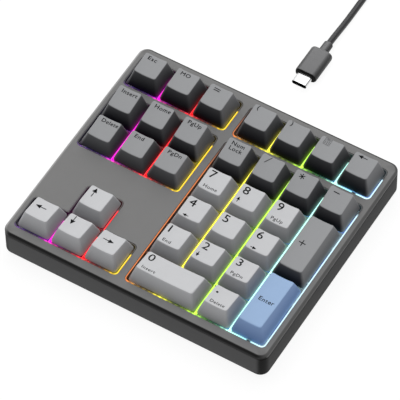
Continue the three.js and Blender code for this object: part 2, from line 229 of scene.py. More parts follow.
# light between the keys
glow = {
    # place from left to right in millimetres, and the colour there
    "stops": [(-69.7, (70, 0, 110)), (-56, (110, 0, 150)), (-50.7, (240, 0, 195)), (-42, (200, 0, 70)),
              (-31.6, (245, 15, 25)), (-22, (200, 40, 10)), (-12.6, (255, 222, 10)), (-9.5, (255, 140, 0)),
              (-6.5, (215, 105, 20)), (3, (235, 190, 30)), (12.6, (250, 240, 60)), (22, (190, 220, 40)),
              (31.6, (190, 255, 70)), (41, (60, 190, 80)), (50.7, (185, 255, 235)), (60, (150, 225, 240)),
              (69.7, (205, 240, 255))],
    "power": 1.7,
    # the strength of the painted glow on the caps' sides near the foot
    "onCaps": 0.13,
}


def hueAlong(m):
    low, high = glow["stops"][0][0], glow["stops"][-1][0]
    stops = [((x - low) / (high - low), srgb(*colour)) for x, colour in glow["stops"]]
    across = (m.axis(0) * (1 / mm) - low) * (1 / (high - low))
    return m.node("ValToRGB", {"stops": stops}, {0: across})


# each recipe gives the colour and what the surface sends out
def litRecipe(m, base):
    return base, m.attribute("bright").mix((0, 0, 0, 1), hueAlong(m))


def capRecipe(paintedShadeColour):
    # painted shade: the sides are darker than the top; near the foot they take a painted glow for the light
    # from the gaps
    def recipe(m, base):
        return m.attribute("side").mix(base, m.tint(base, (*paintedShadeColour, 1))), litRecipe(m, base)[1]
    return recipe


def caseRecipe(m, base):
    # painted light and shade: the attribute is half the factor on the colour
    return m.tint(base, m.attribute("tone").mix((0, 0, 0, 1), (2, 2, 2, 1))), None


def paintedPlateGlow(m, base):
    # painted glow: the plate sends out a faint copy of the light's hue, standing for the light that falls on
    # it under the caps
    return base, m.tint(hueAlong(m), (0.02, 0.02, 0.02, 1))


materials = {
    "caseTop": makeMaterial("case_top", (0.212, 0.211, 0.21), 0.5, specular=0.15, grain=0.3,
                            recipe=caseRecipe),
    "caseTray": makeMaterial("case_tray", (0.066, 0.066, 0.067), 0.5, specular=0.07, grain=0.3,
                             recipe=caseRecipe),
    # each cap recipe takes the colour of its sides' painted shade
    "capGrey": makeMaterial("keycap_grey", (0.33, 0.335, 0.345), 0.55, specular=0.2, emission=1.0,
                            recipe=capRecipe((0.0, 0.0, 0.01))),
    "capLight": makeMaterial("keycap_light", (0.61, 0.615, 0.63), 0.55, specular=0.3, emission=1.0,
                             recipe=capRecipe((0.22, 0.22, 0.23))),
    "capBlue": makeMaterial("keycap_blue", (0.335, 0.485, 0.73), 0.55, specular=0.3, emission=1.0,
                            recipe=capRecipe((0.0, 0.12, 0.4))),
    "ink": makeMaterial("legend_ink", (0.004, 0.004, 0.005), 0.6, specular=0.1, grain=0.05),
    "paleInk": makeMaterial("icon_ink", (0.1, 0.1, 0.105), 0.6, specular=0.1, grain=0.05),
    "plate": makeMaterial("switch_plate", (0.6, 0.61, 0.63), 0.45, emission=1.0, recipe=paintedPlateGlow),
    "housing": makeMaterial("switch_housing", (0.27, 0.36, 0.72), 0.25, coat=0.3, grain=0.05),
    "stem": makeMaterial("switch_stem", (0.22, 0.12, 0.5), 0.35, grain=0.05),
    "guide": makeMaterial("light_guide", (0.03, 0.03, 0.03), 0.35, emission=glow["power"],
                          recipe=litRecipe),
    "board": makeMaterial("circuit_board", (0.008, 0.02, 0.012), 0.3, coat=0.4, mottle=0.2),
    "chip": makeMaterial("chip", (0.012, 0.012, 0.013), 0.4),
    "plated": makeMaterial("connector_metal", (0.86, 0.87, 0.88), 0.22, metallic=1.0, grain=0.04,
                           mottle=0.03),
    "steel": makeMaterial("screw_steel", (0.5, 0.51, 0.53), 0.3, metallic=1.0, grain=0.2),
    "brass": makeMaterial("contact_brass", (0.75, 0.5, 0.2), 0.3, metallic=1.0, grain=0.1),
    "rubber": makeMaterial("foot_rubber", (0.012, 0.012, 0.013), 0.85, grain=0.5, grainSize=0.0004),
    "plug": makeMaterial("plug_body", (0.185, 0.185, 0.188), 0.42, specular=0.3, grain=0.25,
                         recipe=caseRecipe),
    "mouth": makeMaterial("plug_mouth", (0.004, 0.004, 0.004), 0.7, specular=0.1),
    "cable": makeMaterial("cable_jacket", (0.032, 0.032, 0.034), 0.3, grain=0.2, grainSize=0.0004),
    "strap": makeMaterial("cable_tie", (0.012, 0.012, 0.014), 0.8, grain=0.8, grainSize=0.0005),
}
cableCord.data.materials.append(materials["cable"])
print("materials made")


# surfaces
# A surface is (points, faces, values): values are numbers per point, by attribute name.
def skin(rings, closed=True, ends=(True, True), **values):
    # rings[i, j] is point j of ring i; neighbours in both directions make the quads, and each end may
    # be closed by a fan to its middle
    rings = np.asarray(rings, float)
    count, around = rings.shape[:2]
    points = rings.reshape(-1, 3)
    index = np.arange(count * around).reshape(count, around)
    after = np.roll(index, -1, 1) if closed else index[:, 1:]
    here = index if closed else index[:, :-1]
    quads = np.stack([here[:-1], after[:-1], after[1:], here[1:]], -1).reshape(-1, 4)
    faces = quads.tolist()
    values = {name: np.broadcast_to(v, rings.shape[:2]).ravel() for name, v in values.items()}
    for end, ring in ((0, 0), (1, count - 1)):
        if not ends[end]:
            continue
        middle = len(points)
        points = np.vstack([points, rings[ring].mean(0)])
        values = {name: np.append(v, v[index[ring]].mean()) for name, v in values.items()}
        loop = index[ring].tolist()
        following = loop[1:] + loop[:1]
        faces += [(middle, b, a) if end == 0 else (middle, a, b) for a, b in zip(loop, following)]
    return points, faces, values


def together(parts):
    names = {name for _, _, values in parts for name in values}
    points, faces, gathered = [], [], {name: [] for name in names}
    shift = 0
    for own, ownFaces, values in parts:
        points.append(own)
        faces += [tuple(i + shift for i in face) for face in ownFaces]
        for name in names:
            gathered[name].append(values.get(name, np.zeros(len(own))))
        shift += len(own)
    return np.vstack(points), faces, {name: np.concatenate(v) for name, v in gathered.items()}


def makePiece(name, parts, body="root", replaces=()):
    # parts is a list of (surface, finish): each finish becomes a material slot of one mesh
    points, faces, values = together([surface for surface, _ in parts])
    mesh = bpy.data.meshes.new(name)
    mesh.from_pydata((points * mm).tolist(), [], faces)
    order = list(dict.fromkeys(finish for _, finish in parts))
    for finish in order:
        mesh.materials.append(materials[finish])
    which = np.concatenate([np.full(len(surface[1]), order.index(finish)) for surface, finish in parts])
    mesh.polygons.foreach_set("material_index", which.astype(np.int32))
    for key, numbers in values.items():
        mesh.attributes.new(key, "FLOAT", "POINT").data.foreach_set("value", numbers.astype(np.float32))
    mesh.update()
    mesh.shade_smooth()
    mesh.set_sharp_from_angle(angle=np.radians(35))
    piece = linked(name, mesh)
    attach(piece, body)
    if replaces:
        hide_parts(*replaces)
    return piece


def nodeBox(name):
    # a CAD node's lowest and highest corner in millimetres
    return [np.array(corner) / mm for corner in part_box(name)]


def roundedBase(cornerSteps=6, sideSteps=1):
    # signs and outward directions of a rounded rectangle's points, anticlockwise from the front right
    # corner: a point is sign * (half size - radius) + radius * direction
    signs, ways = [], []
    for corner, (sx, sy) in enumerate([(1, -1), (1, 1), (-1, 1), (-1, -1)]):
        turn = (corner - 1 + np.linspace(0, 1, cornerSteps + 1)) * np.pi / 2
        signs.append(np.tile([[sx, sy]], (cornerSteps + 1, 1)))
        ways.append(np.stack([np.cos(turn), np.sin(turn)], 1))
        nextSign = np.array([(1, 1), (-1, 1), (-1, -1), (1, -1)][corner])
        share = np.linspace(0, 1, sideSteps + 1)[1:-1, None]
        signs.append(np.array([[sx, sy]]) * (1 - share) + nextSign * share)
        ways.append(np.tile(ways[-1][-1:], (len(share), 1)))
    return np.vstack(signs).astype(float), np.vstack(ways)


def roundedRing(base, halfX, halfY, radius, z, middle=(0, 0)):
    signs, ways = base
    spot = signs * (np.array([halfX, halfY]) - radius) + radius * ways + np.array(middle)
    return np.c_[spot, np.broadcast_to(z, len(spot))]


def lathe(profile, middle, around):
    # a profile of (radius, height) turned about a vertical line
    turn = np.arange(around) / around * 2 * np.pi
    profile = np.array(profile, float)
    rings = np.stack([profile[:, :1] * np.cos(turn) + middle[0], profile[:, :1] * np.sin(turn) + middle[1],
                      np.repeat(profile[:, 1:], around, 1)], -1)
    return skin(rings)


def slab(x0, x1, y0, y1, z0, z1, edge, base=roundedBase(3), **values):
    # an upright block with rounded corners and small chamfers along its top and foot
    middle, half = ((x0 + x1) / 2, (y0 + y1) / 2), ((x1 - x0) / 2, (y1 - y0) / 2)
    corner = min(*half) * 0.45
    rings = [roundedRing(base, half[0] - inset, half[1] - inset, max(corner - inset, 0.01), z, middle)
             for inset, z in ((edge, z0), (0, z0 + edge), (0, z1 - edge), (edge, z1))]
    return skin(rings, **values)


def block(middle, halfX, halfY, z0, z1, edge):
    # the same round a middle
    return slab(middle[0] - halfX, middle[0] + halfX, middle[1] - halfY, middle[1] + halfY, z0, z1, edge)


# keycaps
caps = {
    "pitch": 19.05,
    "foot": 17.4,           # height of the caps' lower edge
    "halfFoot": 9.05,
    "halfTop": 6.15,
    "topFront": -5.95,
    "topBack": 6.55,
    "dish": 0.6,
    "wall": 1.3,
    "roof": 1.5,
    "rim": 0.38,            # rounding of the edge round the top
    "footRadius": 1.7,
    "topRadius": 1.15,
    "bulge": 0.06,
    # the top's front and back height above the foot, from the back row forward
    "rows": [(9.4, 10.1), (9.1, 11.1), (7.5, 8.5), (7.6, 7.7), (8.6, 7.7), (9.2, 7.1)],
    # a post's radius and lower end, and its socket's arm and half thickness
    "post": (2.75, 0.6, 2.05, 0.65),
    "endPost": (2.2, 0, 1.5, 0.6),
    "endPostAt": 11.94,     # a long key's two other posts are this far from its middle
    # how far the sides take their painted shade: the front where it's open, the front before another
    # key, the right side where it's open, and before another key
    "shades": {"capGrey": (0.8, 0.92, 0.52, 0.8), "capLight": (0.5, 0.58, 0.5, 0.54),
               "capBlue": (0.5,) * 4},
    # the painted shade on the left sides, lighter than on the front and right
    "leftShade": 0.3,
    "footShade": 0.24,      # painted shade: darker by half of this at the foot, lighter by as much at the top
    "openRight": "equals page_up page_down up right backspace minus plus enter point".split(),
    "litHeight": 0.3,       # the share of the height that takes a painted glow for the light from the gaps
    "litFront": 0.12,       # how much of that painted glow the front and back take beside the left and right
    "slots": {"capGrey": "keycap_grey", "capLight": "keycap_light", "capBlue": "keycap_blue"},
}
words, digits, small = 3.05, 6.3, 2.6
# node: row, finish, and its legends as (text or sign, letter size or the sign's turn)
keyTable = {
    "key_escape": (0, "capGrey", ("Esc", words)),
    "key_function": (0, "capGrey", ("MO", words)),
    "key_equals": (0, "capGrey", ("equals", 0)),
    "key_insert": (1, "capGrey", ("Insert", words)),
    "key_home": (1, "capGrey", ("Home", words)),
    "key_page_up": (1, "capGrey", ("PgUp", words)),
    "key_delete": (2, "capGrey", ("Delete", words)),
    "key_end": (2, "capGrey", ("End", words)),
    "key_page_down": (2, "capGrey", ("PgDn", words)),
    "key_up": (4, "capLight", ("arrow", 90)),
    "key_left": (5, "capLight", ("arrow", 180)),
    "key_down": (5, "capLight", ("arrow", 270)),
    "key_right": (5, "capLight", ("arrow", 0)),
    "key_open_bracket": (0, "capGrey", ("(", 3.4)),
    "key_close_bracket": (0, "capGrey", (")", 3.4)),
    "key_calculator": (0, "capGrey", ("calculator", 0)),
    "key_backspace": (0, "capGrey", ("backArrow", 180)),
    "key_num_lock": (1, "capGrey", ("Num", words), ("Lock", words)),
    "key_divide": (1, "capGrey", ("slash", 0)),
    "key_multiply": (1, "capGrey", ("star", 0)),
    "key_minus": (1, "capGrey", ("minus", 0)),
    "key_7": (2, "capLight", ("7", digits), ("Home", small)),
    "key_8": (2, "capLight", ("8", digits), ("smallArrow", 90)),
    "key_9": (2, "capLight", ("9", digits), ("PgUp", small)),
    "key_plus": (2, "capGrey", ("plus", 0)),
    "key_4": (3, "capLight", ("4", digits), ("smallArrow", 180)),
    "key_5": (3, "capLight", ("5", digits)),
    "key_6": (3, "capLight", ("6", digits), ("smallArrow", 0)),
    "key_1": (4, "capLight", ("1", digits), ("End", small)),
    "key_2": (4, "capLight", ("2", digits), ("smallArrow", 270)),
    "key_3": (4, "capLight", ("3", digits), ("PgDn", small)),
    "key_enter": (4, "capBlue", ("Enter", 3.4)),
    "key_0": (5, "capLight", ("0", digits), ("Insert", small)),
    "key_point": (5, "capLight", ("point", 0), ("Delete", small)),
}
capBase = roundedBase(6, 8)


class Cap:
    # places on one keycap, worked out from its CAD node's box
    def __init__(self, node, row, finish):
        low, high = nodeBox(node)
        self.middle = (low + high)[:2] / 2
        self.grow = ((high - low)[:2] - 2 * caps["halfFoot"]) / 2
        self.long = self.grow > 1
        name = node.removeprefix("key_")
        openFront = row in (2, 5) if self.middle[0] < -10 else row + self.long[1] >= 5
        shades = caps["shades"][finish]
        self.frontShade = shades[0 if openFront else 1]
        self.rightShade = shades[2 if name in caps["openRight"] else 3]
        self.endsWindow = row in (0, 1) or name in ("up", "left", "right")      # at a window's back edge
        rows = caps["rows"]
        self.front, self.back = rows[min(row + int(self.long[1]), 5)][0], rows[row][1]

    def lean(self, y):
        start = caps["topFront"] - self.grow[1]
        deep = caps["topBack"] - caps["topFront"] + 2 * self.grow[1]
        return self.front + (self.back - self.front) * (y - start) / deep

    def dip(self, x):
        return caps["dish"] * (1 - np.clip(np.abs(x) / (caps["halfTop"] + self.grow[0]), 0, 1) ** 2)

    def ring(self, share, inset=0.0):
        # outline at a share of the way from foot to top, a smaller one where inset is given
        low, high = caps["halfFoot"], caps["halfTop"]
        bulge = caps["bulge"] * 4 * share * (1 - share) - inset
        halfX = low + (high - low) * share + bulge + self.grow[0]
        y0 = -low + (caps["topFront"] + low) * share - bulge - self.grow[1]
        y1 = low + (caps["topBack"] - low) * share + bulge + self.grow[1]
        radius = caps["footRadius"] + (caps["topRadius"] - caps["footRadius"]) * share
        corner = max(radius - inset * 0.6, 0.3)
        ring = roundedRing(capBase, halfX, (y1 - y0) / 2, corner, 0, (0, (y0 + y1) / 2))
        ring[:, 2] = share * (self.lean(ring[:, 1]) - share * self.dip(ring[:, 0]))
        return ring

    def top(self, share):
        # the dished top: the top outline drawn in towards its middle, lying on the dish
        ring = self.ring(1)
        middle = np.array([0, (caps["topFront"] + caps["topBack"]) / 2])
        spot = middle + (ring[:, :2] - middle) * share
        return np.c_[spot, self.lean(spot[:, 1]) - self.dip(spot[:, 0])]

    def placed(self, surface):
        points, faces, values = surface
        return points + [*self.middle, caps["foot"]], faces, values


def capShell(cap):
    # outside: side rings, then a quadratic bend over the rim (1-w)^2 side + 2w(1-w) rim + w^2 top, then
    # the dish drawn in to its middle; inside: a tapering hollow that ends under the roof
    rim = caps["rim"]
    high = (cap.front + cap.back) / 2
    below, corner, over = cap.ring(1 - rim / high), cap.ring(1), cap.top(1 - rim / caps["halfTop"])
    sides = [cap.ring(s) for s in (0, 0.06, 0.16, 0.3, 0.5, 0.7, 0.86)]
    bend = [(1 - w) ** 2 * below + 2 * w * (1 - w) * corner + w * w * over for w in (0, 0.25, 0.5, 0.75, 1)]
    inner = [cap.top(s) for s in (0.8, 0.6, 0.4, 0.2)]
    rings = np.array(sides + bend + inner)
    sideShare = np.array([1] * len(sides) + [1, 0.85, 0.4, 0.1, 0] + [0] * len(inner))[:, None]
    height = rings[..., 2] / high
    forward, right = (np.clip(way, 0, 1) ** 2 for way in (-capBase[1][:, 1], capBase[1][:, 0]))
    # painted glow near the foot for the light from the gaps, fading towards a window's back edge
    facing = caps["litFront"] + (1 - caps["litFront"]) * np.abs(capBase[1][:, 0]) ** 2
    reach = np.clip((8 - rings[..., 1]) / 8, 0, 1) if cap.endsWindow else 1
    caught = np.clip(1 - height / caps["litHeight"], 0, 1) ** 2
    bright = caught * facing * sideShare * reach * glow["onCaps"]
    # painted shade on the sides: darker where another key stands close, lighter on the left, and darker
    # towards the foot
    shade = forward * cap.frontShade + right * cap.rightShade + (1 - forward - right) * caps["leftShade"]
    shade = shade + caps["footShade"] * (0.5 - height)
    outer = skin(rings, ends=(False, True), side=sideShare * np.clip(shade, 0, 1), bright=bright)
    ceiling = min(cap.front, cap.back) - caps["dish"] - caps["roof"]
    hollow = []
    for share in (0, 0.5, 1):
        ring = cap.ring(share * 0.8, inset=caps["wall"])
        ring[:, 2] = share * ceiling
        hollow.append(ring)
    # the lip, the hollow inside and the posts take the full painted shade
    lip = skin([hollow[0], cap.ring(0)], ends=(False, False), side=1.0)
    inside = skin(hollow[::-1], ends=(True, False), side=1.0)
    return [cap.placed(part) for part in (outer, inside, lip)], ceiling


def crossPost(x, y, radius, low, arm, half, high):
    # a round post with a plus-shaped socket: the outline of the plus and the circle share their angles
    plus = np.array([(arm, -half), (arm, half), (half, half), (half, arm), (-half, arm), (-half, half),
                     (-arm, half), (-arm, -half), (-half, -half), (-half, -arm), (half, -arm), (half, -half)])
    plus = np.vstack([np.linspace(a, b, 3)[:-1] for a, b in zip(plus, np.roll(plus, -1, 0))])
    angle = np.arctan2(plus[:, 1], plus[:, 0])
    circle = np.stack([np.cos(angle), np.sin(angle)], 1) * radius
    rings = [np.c_[spot + [x, y], np.full(len(spot), z)]
             for spot, z in ((plus, high - 1), (plus, low), (circle, low), (circle, high))]
    return skin(rings, ends=(True, False), side=1.0)


# legends
legendLook = {
    "wide": 1.12,           # the letters are this much wider than the font's own
    "wides": {"Esc": 1.22, "Delete": 1.05, "Enter": 1.03},
    "apart": 1.1,           # the letters' spacing beside the font's own
    "bold": 0.04,           # half the ink's thickness, and what it adds to each side of the strokes
    "thin": 0.02,
    "lift": 0.03,
    # from the top's left edge, and from its back edge
    "word": (2.3, 0.95),
    "digit": (1.7, 0.6),
    "under": (2.2, 1.3),    # the small word below a digit: from the left edge, and from the front edge
    "bracket": 1.8,
    "enter": (0.3, -1.2),   # from the key's middle
    "line": 2.9,
    "capHeight": 0.73,
}
# each sign's middle by its name and turn: from the top's left edge, and from its back edge
signSpots = {
    ("arrow", 0): (5.3, 5.3), ("arrow", 180): (4.7, 4.9), ("arrow", 90): (3.2, 3.5),
    ("arrow", 270): (3.2, 3.4), ("smallArrow", 0): (3.9, 11.2), ("smallArrow", 180): (3.9, 11.2),
    ("smallArrow", 90): (2.1, 9.3), ("smallArrow", 270): (2.1, 9.3), ("backArrow", 180): (4.4, 1.7),
    ("equals", 0): (4.0, 2.2), ("slash", 0): (3.8, 2.4), ("star", 0): (3.9, 2.6),
    ("calculator", 0): (3.8, 2.2), ("minus", 0): (4.2, 2.5), ("plus", 0): (3.85, 16.1),
    ("point", 0): (2.4, 4.2),
}


def turned(points, degrees):
    cosine, sine = np.cos(np.radians(degrees)), np.sin(np.radians(degrees))
    return [tuple(point) for point in np.array(points) @ np.array([[cosine, sine], [-sine, cosine]])]


def bar(x0, x1, y0, y1):
    return [(x0, y0), (x1, y0), (x1, y1), (x0, y1)]


def arrow(long, thick, head):
    tip, wing = long / 2, head * 0.45
    shaft = bar(-tip, tip - head * 0.8, -thick / 2, thick / 2)
    return [shaft, [(tip - head, -wing), (tip, 0), (tip - head, wing)]]


# flat signs in millimetres, each a list of outlines; arrows point right
signs = {
    "arrow": arrow(5.9, 0.4, 2.8),
    "smallArrow": arrow(3.2, 0.32, 1.9),
    "backArrow": arrow(5.0, 0.34, 2.3),
    "equals": [bar(-1.7, 1.7, y - 0.2, y + 0.2) for y in (-0.55, 0.55)],
    "slash": [[(-1.4, -2.0), (-1.04, -2.0), (1.4, 2.0), (1.04, 2.0)]],
    "star": [turned(bar(-1.6, 1.6, -0.19, 0.19), angle) for angle in (30, 90, 150)],
    "calculator": [bar(-1.75, 1.75, 1.75, 1.95), bar(-1.75, 1.75, -1.95, -1.75),
                   bar(-1.75, -1.55, -1.75, 1.75), bar(1.55, 1.75, -1.75, 1.75),
                   bar(-1.2, 1.2, 0.7, 0.9), bar(-1.2, 1.2, 1.25, 1.42)]
    + [bar(x, x + 0.5, y, y + 0.32) for x in (-1.2, -0.25, 0.7) for y in (-1.35, -0.75, -0.15)],
    "minus": [bar(-1.6, 1.6, -0.22, 0.22)],
    "plus": [bar(-1.8, 1.8, -0.22, 0.22), bar(-0.22, 0.22, 0.22, 1.8), bar(-0.22, 0.22, -1.8, -0.22)],
    "point": [[(0.6 * np.cos(a), 0.6 * np.sin(a)) for a in np.arange(12) * np.pi / 6]],
}


def solidText(text, size):
    # a text object's filled outlines as thin closed letters, the left end and baseline at the origin;
    # the bevel also makes the strokes bolder
    curve = bpy.data.curves.new("legend", "FONT")
    curve.body, curve.size, curve.resolution_u = text, size, 3
    curve.space_character = legendLook["apart"]
    curve.bevel_depth, curve.bevel_resolution = legendLook["thin" if size == small else "bold"], 0
    holder = linked("legend", curve)
    mesh = bpy.data.meshes.new_from_object(holder)
    points = np.zeros(len(mesh.vertices) * 3)
    mesh.vertices.foreach_get("co", points)
    faces = [tuple(face.vertices) for face in mesh.polygons]
    bpy.data.objects.remove(holder)
    bpy.data.curves.remove(curve)
    bpy.data.meshes.remove(mesh)
    points = points.reshape(-1, 3)
    return points - [points[:, 0].min(), 0, 0], faces


def solidSign(name, turn):
    # each outline becomes a thin prism: its outline below, the same above, and quads between
    points, faces = [], []
    thin = legendLook["thin"]
    for outline in signs[name]:
        start, count = len(points), len(outline)
        low, high = list(range(start, start + count)), list(range(start + count, start + 2 * count))
        faces += [tuple(low[::-1]), tuple(high)]
        faces += [(low[k - 1], low[k], high[k], high[k - 1]) for k in range(count)]
        points += [(x, y, z) for z in (-thin, thin) for x, y in turned(outline, turn)]
    return np.array(points), faces


def legendSolids(cap, legends):
    # each legend is laid on the dish: its points stand over the top's height at their place by a hair
    look = legendLook
    left, back = -caps["halfTop"] - cap.grow[0], caps["topBack"] + cap.grow[1]
    front = caps["topFront"] - cap.grow[1]
    solids = []
    for line, (text, size) in enumerate(legends):
        if text in signs:
            points, faces = solidSign(text, size)
            across, down = signSpots[text, size]
            spot = (left + across, back - down)
        else:
            points, faces = solidText(text, size)
            points = points * [look["wides"].get(text, look["wide"]), 1, 1]
            tall = size * look["capHeight"]
            if text == "Enter":
                spot = (look["enter"][0] - points[:, 0].max() / 2, look["enter"][1])
            elif text in "()":
                spot = (left + look["bracket"], back - tall)
            elif size == small:
                spot = (left + look["under"][0], front + look["under"][1])
            else:
                across, top = look["digit" if size == digits else "word"]
                spot = (left + across, back - top - tall - line * look["line"])
        points = points + [*spot, look["lift"]]
        points[:, 2] += cap.lean(points[:, 1]) - cap.dip(points[:, 0])
        solids.append((cap.placed((points, faces, {})), "paleInk" if text == "calculator" else "ink"))
    return solids


# the switch's moving part, a block, a shoulder and the plus that the cap sits on: half width, half
# depth, low, high and chamfer
sliderBlocks = [(2.9, 2.7, 14.6, 18.1, 0.25), (3.4, 1.9, 14.2, 17.2, 0.2),
                (1.95, 0.58, 18.0, 21.4, 0.12), (0.55, 1.95, 18.0, 21.35, 0.12)]


def makeKeys():
    made = []
    for node, (row, finish, *legends) in keyTable.items():
        cap = Cap(node, row, finish)
        made.append(cap)
        shell, ceiling = capShell(cap)
        posts = [crossPost(0, 0, *caps["post"], ceiling)]
        if cap.long.any():
            for reach in (-caps["endPostAt"], caps["endPostAt"]):
                posts.append(crossPost(reach * cap.long[0], reach * cap.long[1], *caps["endPost"], ceiling))
        parts = [(part, finish) for part in shell + [cap.placed(post) for post in posts]]
        parts += legendSolids(cap, legends)
        parts += [(block(cap.middle, *one), "stem") for one in sliderBlocks]
        makePiece(node + "_cap", parts, body=node, replaces=(node,))
    return made


keyCaps = makeKeys()
print("keys made", len(keyCaps))

# case
case = {
    "foot": 2.0,
    "seam": 15.2,
    "reveal": 0.3,
    "top": 17.7,
    "corner": 5.0,
    "fillet": 1.4,
    "footFillet": 0.8,
    "wall": 2.4,
    "floor": 3.8,
    "windowCorner": 2.4,
    "windowMargin": 0.7,
    "leftMargin": 1.3,
    "windowEdge": 0.22,
    "blockGap": 6.1,
    "rowGap": 5.5,
    "sideBezel": 4.4,
    "endBezel": 6.35,
    "chamfer": 0.12,
    "port": (6.6, 3.75, 1.4, 8),    # half width, half height, corner and height of the socket's opening
    # painted light and shade: how light the rounded edges are beside the faces, by the way that they face
    "edges": {"front": 0.04, "right": 0.5, "back": 0.12, "left": 1.7, "upright": 0.01},
    "rightWall": 0.235,     # painted shade: how dark the tray's right side is beside its others
}
pitch = caps["pitch"]
fieldWide, fieldDeep = 7 * pitch + case["blockGap"], 6 * pitch + case["rowGap"]
caseHalf = np.array([fieldWide / 2 + case["sideBezel"], fieldDeep / 2 + case["endBezel"]])
# first column, first row, columns, rows
windows = [(0, 0, 3, 1), (0, 1, 3, 2), (1, 4, 1, 2), (0, 5, 3, 1), (3, 0, 4, 1), (3, 1, 4, 5)]
caseBase = roundedBase(12, 8)


def columnEdge(column):
    return -fieldWide / 2 + column * pitch + (case["blockGap"] if column >= 3 else 0)


def rowEdge(row):
    return fieldDeep / 2 - row * pitch - (case["rowGap"] if row >= 1 else 0)


def caseRing(inset, z):
    return roundedRing(caseBase, *(caseHalf - inset), max(case["corner"] - inset, 0.2), z)


def paintedEdgeShading(points):
    # painted light and shade: 0.5 on the faces; on the rounding along the top, by the way it faces; on the
    # upright corners, dark in the middle of the turn; on the right side, darker
    edges, seam = case["edges"], case["seam"] + 0.1
    beyond = np.abs(points[:, :2]) - (caseHalf - case["corner"])
    inCorner = (beyond > 0).all(1)
    turn = np.degrees(np.arctan2(np.clip(beyond[:, 1], 0, None), np.clip(beyond[:, 0], 1e-6, None)))
    middle = np.clip(np.minimum(turn, 90 - turn) / 30, 0, 1)
    rise = (points[:, 2] - case["top"] + case["fillet"]) / case["fillet"]
    upright = np.where(inCorner, middle * middle * (3 - 2 * middle), 0) * np.clip(1.2 - rise, 0, 1)
    out = np.where(inCorner[:, None], beyond, np.clip(beyond - case["corner"] + 0.01, -50, 50))
    flat = (out >= out.max(1, keepdims=True)).astype(float)
    ways = np.sign(points[:, :2]) * np.where(inCorner[:, None], np.clip(beyond, 0, None), flat)
    ways /= np.linalg.norm(ways, axis=1, keepdims=True) + 1e-9
    share = ways ** 2
    along = (share[:, 0] * np.where(ways[:, 0] > 0, edges["right"], edges["left"])
             + share[:, 1] * np.where(ways[:, 1] > 0, edges["back"], edges["front"]))
    onFillet = (points[:, 2] > seam) * np.clip((0.999 - rise) / 0.02, 0, 1)
    onRight = share[:, 0] * (ways[:, 0] > 0) * (points[:, 2] < seam)
    faces = (1 + (edges["upright"] - 1) * upright) * (1 + (case["rightWall"] - 1) * onRight)
    tone = np.clip((faces + (np.minimum(along, faces * 2) - faces) * onFillet) * 0.5, 0, 1)
    return np.where(points[:, 2] < case["foot"] + 0.05, 0.5, tone)


def withPaintedShading(surface):
    points, faces, values = surface
    return points, faces, {**values, "tone": paintedEdgeShading(points)}


def cutAway(piece, cutters):
    # takes the closed cutter surfaces out of a piece's mesh with one Boolean, then applies it
    points, faces, _ = together(cutters)
    mesh = bpy.data.meshes.new("cutter")
    mesh.from_pydata((points * mm).tolist(), [], faces)
    cutter = linked("cutter", mesh)
    boolean = piece.modifiers.new("cut", "BOOLEAN")
    boolean.operation, boolean.solver, boolean.object = "DIFFERENCE", "EXACT", cutter
    boolean.use_self = True
    graph = bpy.context.evaluated_depsgraph_get()
    made = bpy.data.meshes.new_from_object(
        piece.evaluated_get(graph), preserve_all_data_layers=True, depsgraph=graph)
    piece.modifiers.clear()
    piece.data = made
    bpy.data.objects.remove(cutter)
    spots = np.zeros(len(made.vertices) * 3, np.float32)
    made.vertices.foreach_get("co", spots)
    # the painted light and shade is worked out again on the cut mesh
    tone = paintedEdgeShading(spots.reshape(-1, 3).astype(float) / mm)
    layer = made.attributes.get("tone") or made.attributes.new("tone", "FLOAT", "POINT")
    layer.data.foreach_set("value", tone.astype(np.float32))
    made.shade_smooth()
    made.set_sharp_from_angle(angle=np.radians(30))


def windowSpots():
    more = case["windowMargin"]
    for column, row, wide, deep in windows:
        x0, y1 = columnEdge(column), rowEdge(row)
        yield x0 - case["leftMargin"], x0 + wide * pitch + more, y1 - deep * pitch - more, y1 + more


def middles(start):
    # the middles of the CAD nodes whose names start so
    return [(np.add(*nodeBox(name)) / 2)[:2] for name in sorted(nodes) if name.startswith(start)]


def makeTopFrame():
    fillet, top, chamfer = case["fillet"], case["top"], case["chamfer"]
    low = case["seam"] + case["reveal"]
    rings = [caseRing(chamfer, low), caseRing(0, low + chamfer)]
    rings += [caseRing(fillet * (1 - np.cos(a)), top - fillet * (1 - np.sin(a)))
              for a in np.radians(np.linspace(0, 90, 10))]
    topFrame = makePiece("frame_top", [(skin(rings), "caseTop")], replaces=("top_frame",))
    base, edge, corner = roundedBase(8, 1), case["windowEdge"], case["windowCorner"]
    cutters = []
    for x0, x1, y0, y1 in windowSpots():
        half, middle = ((x1 - x0) / 2, (y1 - y0) / 2), ((x0 + x1) / 2, (y0 + y1) / 2)
        grown = [(0, case["floor"]), (0, top - edge), (edge, top), (edge, top + 1)]
        cutters.append(skin([roundedRing(base, half[0] + more, half[1] + more, corner + more, z, middle)
                             for more, z in grown]))
    cutAway(topFrame, cutters)


def makeFrameInside():
    # the lip that drops into the tray, and the screw posts, as one part under the frame
    outer, seam = case["wall"] + 0.3, case["seam"]
    rings = [caseRing(i, z) for i, z in ((outer, seam - 1.8), (outer, seam + 0.4),
                                         (outer + 1.2, seam + 0.4), (outer + 1.2, seam - 1.8))]
    lip = skin(rings + rings[:1], ends=(False, False))
    post = [(1.3, 12.2), (1.3, 4.1), (2.5, 4.1), (2.5, 15.6)]
    tubes = [lathe(post, spot, 24) for spot in middles("screw_")]
    makePiece("frame_posts", [(withPaintedShading(part), "caseTop") for part in [lip, *tubes]])


